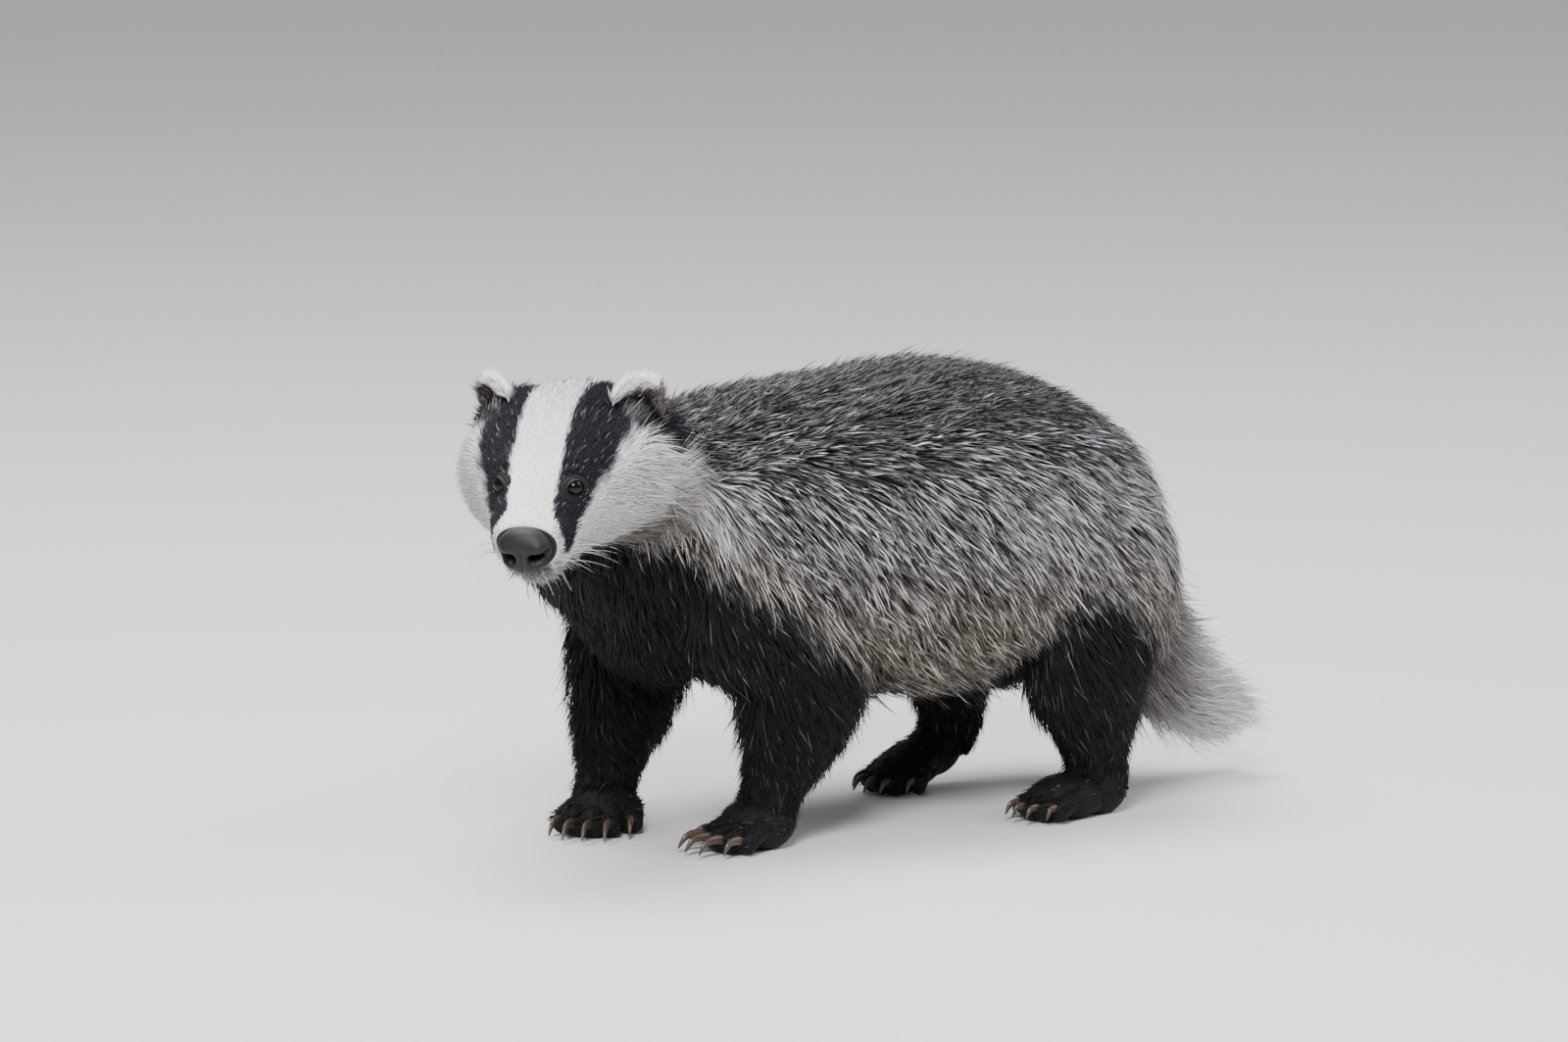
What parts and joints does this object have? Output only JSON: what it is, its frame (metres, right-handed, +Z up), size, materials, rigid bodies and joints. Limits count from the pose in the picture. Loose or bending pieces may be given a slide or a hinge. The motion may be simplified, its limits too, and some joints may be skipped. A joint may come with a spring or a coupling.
{
  "type": "european badger",
  "caption": "Life-size standing European badger in mid step with its head turned, long coat as locks, striped face, clawed paws and short bushy tail.",
  "frame": {"origin": "middle of the animal's box, on the floor under its four feet", "axes": "+X towards the tail, the head towards -X; -Y is the animal's left side; +Z up"},
  "size_m": [0.7052, 0.3038, 0.3538],
  "materials": {
    "coat_grey": "long coarse hair, dark with pale tips",
    "coat_black": "black hair, soft sheen",
    "coat_white": "short white hair",
    "nose_skin": "moist dark skin",
    "eye_dark": "wet gloss",
    "claw_horn": "polished horn"
  },
  "bodies": {
    "root": {"torso": "coat_grey", "neck": "coat_grey", "tail": "coat_grey", "head": "coat_white", "jaw": "coat_white", "nose": "nose_skin", "ear_left": "coat_black", "eye_left": "eye_dark", "ear_right": "coat_black", "eye_right": "eye_dark", "foreleg_left": "coat_black", "foreleg_right": "coat_black", "hindleg_left": "coat_black", "hindleg_right": "coat_black", "forepaw_left": "coat_black", "forepaw_right": "coat_black", "hindpaw_left": "coat_black", "hindpaw_right": "coat_black", "claw_forepaw_left_1": "claw_horn", "claw_forepaw_left_2": "claw_horn", "claw_forepaw_left_3": "claw_horn", "claw_forepaw_left_4": "claw_horn", "claw_forepaw_left_5": "claw_horn", "claw_forepaw_right_1": "claw_horn", "claw_forepaw_right_2": "claw_horn", "claw_forepaw_right_3": "claw_horn", "claw_forepaw_right_4": "claw_horn", "claw_forepaw_right_5": "claw_horn", "claw_hindpaw_left_1": "claw_horn", "claw_hindpaw_left_2": "claw_horn", "claw_hindpaw_left_3": "claw_horn", "claw_hindpaw_left_4": "claw_horn", "claw_hindpaw_left_5": "claw_horn", "claw_hindpaw_right_1": "claw_horn", "claw_hindpaw_right_2": "claw_horn", "claw_hindpaw_right_3": "claw_horn", "claw_hindpaw_right_4": "claw_horn", "claw_hindpaw_right_5": "claw_horn"}
  },
  "joints": []
}
